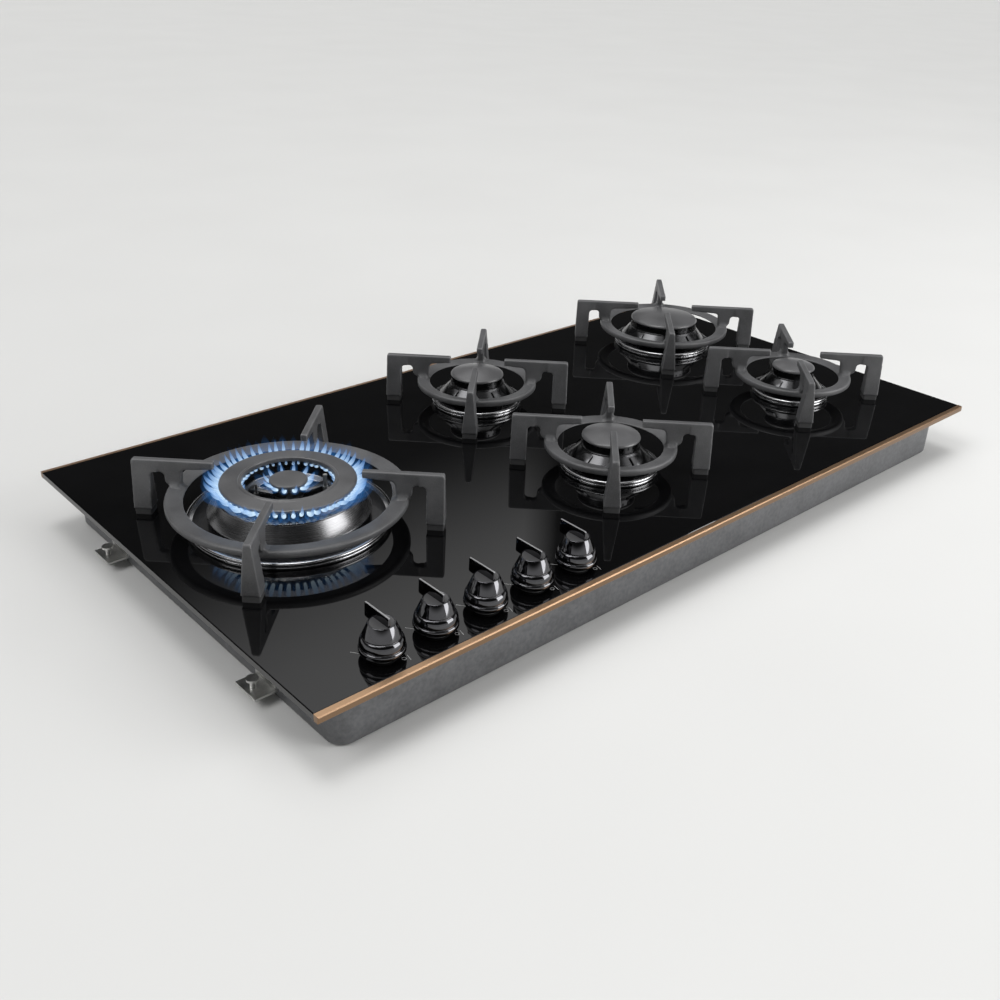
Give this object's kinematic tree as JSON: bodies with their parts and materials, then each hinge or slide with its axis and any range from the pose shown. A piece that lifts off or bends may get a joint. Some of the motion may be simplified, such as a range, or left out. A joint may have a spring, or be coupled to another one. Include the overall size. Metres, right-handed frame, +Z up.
{
  "type": "gas cooktop",
  "caption": "Wide built-in gas cooktop: black glass plate with copper-coloured edge trims, cast pan supports over lift-off burner heads, and push-and-turn knobs with blade grips.",
  "frame": {"origin": "under the middle of the glass, on the underside of the under-tray", "axes": "+X along the front edge to the user's right, +Y from the front to the back, +Z up"},
  "size_m": [0.9, 0.486, 0.111],
  "materials": {
    "black_glass": "polished black toughened glass",
    "copper_trim": "satin copper-coloured anodising",
    "seal_foam": "closed-cell foam",
    "tray_steel": "grey coated sheet steel",
    "pipe_steel": "bright steel tube",
    "fitting_brass": "turned brass",
    "pipe_aluminium": "drawn aluminium tube",
    "cast_aluminium": "die-cast, as cast",
    "seal_rubber": "moulded silicone",
    "ceramic": "glazed white ceramic",
    "probe_steel": "drawn metal tip",
    "unit_plastic": "moulded",
    "bracket_steel": "zinc-plated",
    "dish_enamel": "black enamel with polished rims",
    "cast_iron": "matt enamelled",
    "foot_rubber": "matt",
    "burner_aluminium": "polished dark aluminium",
    "cap_enamel": "matt black enamel",
    "knob_chrome": "glossy black chrome"
  },
  "bodies": {
    "cooktop": {"glass_top": "black_glass", "front_trim": "copper_trim", "rear_trim": "copper_trim", "rim_seal": "seal_foam", "under_tray": "tray_steel", "gas_manifold": "pipe_steel", "inlet_elbow": "fitting_brass", "gas_pipes": "pipe_aluminium", "burner_cups": "cast_aluminium", "injectors": "fitting_brass", "tap_bodies": "cast_aluminium", "knob_seals": "seal_rubber", "spark_electrodes": "ceramic", "flame_probes": "probe_steel", "spark_generator": "unit_plastic", "cable_gland": "unit_plastic", "fixing_brackets": "bracket_steel", "fixing_screws": "bracket_steel", "burner_dish_wok": "dish_enamel", "burner_dish_rear_centre": "dish_enamel", "burner_dish_front_centre": "dish_enamel", "burner_dish_rear_right": "dish_enamel", "burner_dish_front_right": "dish_enamel"},
    "support_wok": {"pan_support_wok": "cast_iron", "support_feet_wok": "foot_rubber"},
    "crown_wok": {"burner_crown_wok": "burner_aluminium", "burner_core_wok": "burner_aluminium"},
    "cap_wok_ring": {"burner_cap_wok_ring": "cap_enamel"},
    "cap_wok_centre": {"burner_cap_wok_centre": "cap_enamel"},
    "tap_wok": {"tap_plug_wok": "fitting_brass"},
    "knob_wok": {"knob_wok": "knob_chrome", "spindle_wok": "fitting_brass"},
    "support_rear_centre": {"pan_support_rear_centre": "cast_iron", "support_feet_rear_centre": "foot_rubber"},
    "crown_rear_centre": {"burner_crown_rear_centre": "burner_aluminium"},
    "cap_rear_centre": {"burner_cap_rear_centre": "cap_enamel"},
    "tap_rear_centre": {"tap_plug_rear_centre": "fitting_brass"},
    "knob_rear_centre": {"knob_rear_centre": "knob_chrome", "spindle_rear_centre": "fitting_brass"},
    "support_front_centre": {"pan_support_front_centre": "cast_iron", "support_feet_front_centre": "foot_rubber"},
    "crown_front_centre": {"burner_crown_front_centre": "burner_aluminium"},
    "cap_front_centre": {"burner_cap_front_centre": "cap_enamel"},
    "tap_front_centre": {"tap_plug_front_centre": "fitting_brass"},
    "knob_front_centre": {"knob_front_centre": "knob_chrome", "spindle_front_centre": "fitting_brass"},
    "support_rear_right": {"pan_support_rear_right": "cast_iron", "support_feet_rear_right": "foot_rubber"},
    "crown_rear_right": {"burner_crown_rear_right": "burner_aluminium"},
    "cap_rear_right": {"burner_cap_rear_right": "cap_enamel"},
    "tap_rear_right": {"tap_plug_rear_right": "fitting_brass"},
    "knob_rear_right": {"knob_rear_right": "knob_chrome", "spindle_rear_right": "fitting_brass"},
    "support_front_right": {"pan_support_front_right": "cast_iron", "support_feet_front_right": "foot_rubber"},
    "crown_front_right": {"burner_crown_front_right": "burner_aluminium"},
    "cap_front_right": {"burner_cap_front_right": "cap_enamel"},
    "tap_front_right": {"tap_plug_front_right": "fitting_brass"},
    "knob_front_right": {"knob_front_right": "knob_chrome", "spindle_front_right": "fitting_brass"}
  },
  "joints": [
    {"name": "support_lift_wok", "type": "slide", "parent": "cooktop", "child": "support_wok", "axis": [0, 0, 1], "range_m": [0, 0.12]},
    {"name": "crown_lift_wok", "type": "slide", "parent": "cooktop", "child": "crown_wok", "axis": [0, 0, 1], "range_m": [0, 0.02]},
    {"name": "cap_lift_wok_ring", "type": "slide", "parent": "crown_wok", "child": "cap_wok_ring", "axis": [0, 0, 1], "range_m": [0, 0.06]},
    {"name": "cap_lift_wok_centre", "type": "slide", "parent": "crown_wok", "child": "cap_wok_centre", "axis": [0, 0, 1], "range_m": [0, 0.06]},
    {"name": "knob_turn_wok", "type": "hinge", "parent": "cooktop", "child": "tap_wok", "pos_m": [-0.3714, -0.211, 0.03], "axis": [0, 0, 1], "range_deg": [0, 210]},
    {"name": "knob_push_wok", "type": "slide", "parent": "tap_wok", "child": "knob_wok", "axis": [0, 0, -1], "range_m": [0, 0.0032], "stiffness_N_per_m": 1000, "springref_m": -0.004},
    {"name": "support_lift_rear_centre", "type": "slide", "parent": "cooktop", "child": "support_rear_centre", "axis": [0, 0, 1], "range_m": [0, 0.12]},
    {"name": "crown_lift_rear_centre", "type": "slide", "parent": "cooktop", "child": "crown_rear_centre", "axis": [0, 0, 1], "range_m": [0, 0.02]},
    {"name": "cap_lift_rear_centre", "type": "slide", "parent": "crown_rear_centre", "child": "cap_rear_centre", "axis": [0, 0, 1], "range_m": [0, 0.06]},
    {"name": "knob_turn_rear_centre", "type": "hinge", "parent": "cooktop", "child": "tap_rear_centre", "pos_m": [-0.32, -0.211, 0.03], "axis": [0, 0, 1], "range_deg": [0, 210]},
    {"name": "knob_push_rear_centre", "type": "slide", "parent": "tap_rear_centre", "child": "knob_rear_centre", "axis": [0, 0, -1], "range_m": [0, 0.0032], "stiffness_N_per_m": 1000, "springref_m": -0.004},
    {"name": "support_lift_front_centre", "type": "slide", "parent": "cooktop", "child": "support_front_centre", "axis": [0, 0, 1], "range_m": [0, 0.12]},
    {"name": "crown_lift_front_centre", "type": "slide", "parent": "cooktop", "child": "crown_front_centre", "axis": [0, 0, 1], "range_m": [0, 0.02]},
    {"name": "cap_lift_front_centre", "type": "slide", "parent": "crown_front_centre", "child": "cap_front_centre", "axis": [0, 0, 1], "range_m": [0, 0.06]},
    {"name": "knob_turn_front_centre", "type": "hinge", "parent": "cooktop", "child": "tap_front_centre", "pos_m": [-0.2686, -0.211, 0.03], "axis": [0, 0, 1], "range_deg": [0, 210]},
    {"name": "knob_push_front_centre", "type": "slide", "parent": "tap_front_centre", "child": "knob_front_centre", "axis": [0, 0, -1], "range_m": [0, 0.0032], "stiffness_N_per_m": 1000, "springref_m": -0.004},
    {"name": "support_lift_rear_right", "type": "slide", "parent": "cooktop", "child": "support_rear_right", "axis": [0, 0, 1], "range_m": [0, 0.12]},
    {"name": "crown_lift_rear_right", "type": "slide", "parent": "cooktop", "child": "crown_rear_right", "axis": [0, 0, 1], "range_m": [0, 0.004]},
    {"name": "cap_lift_rear_right", "type": "slide", "parent": "crown_rear_right", "child": "cap_rear_right", "axis": [0, 0, 1], "range_m": [0, 0.004]},
    {"name": "knob_turn_rear_right", "type": "hinge", "parent": "cooktop", "child": "tap_rear_right", "pos_m": [-0.2172, -0.211, 0.03], "axis": [0, 0, 1], "range_deg": [0, 210]},
    {"name": "knob_push_rear_right", "type": "slide", "parent": "tap_rear_right", "child": "knob_rear_right", "axis": [0, 0, -1], "range_m": [0, 0.0032], "stiffness_N_per_m": 1000, "springref_m": -0.004},
    {"name": "support_lift_front_right", "type": "slide", "parent": "cooktop", "child": "support_front_right", "axis": [0, 0, 1], "range_m": [0, 0.12]},
    {"name": "crown_lift_front_right", "type": "slide", "parent": "cooktop", "child": "crown_front_right", "axis": [0, 0, 1], "range_m": [0, 0.02]},
    {"name": "cap_lift_front_right", "type": "slide", "parent": "crown_front_right", "child": "cap_front_right", "axis": [0, 0, 1], "range_m": [0, 0.06]},
    {"name": "knob_turn_front_right", "type": "hinge", "parent": "cooktop", "child": "tap_front_right", "pos_m": [-0.1658, -0.211, 0.03], "axis": [0, 0, 1], "range_deg": [0, 210]},
    {"name": "knob_push_front_right", "type": "slide", "parent": "tap_front_right", "child": "knob_front_right", "axis": [0, 0, -1], "range_m": [0, 0.0032], "stiffness_N_per_m": 1000, "springref_m": -0.004}
  ]
}
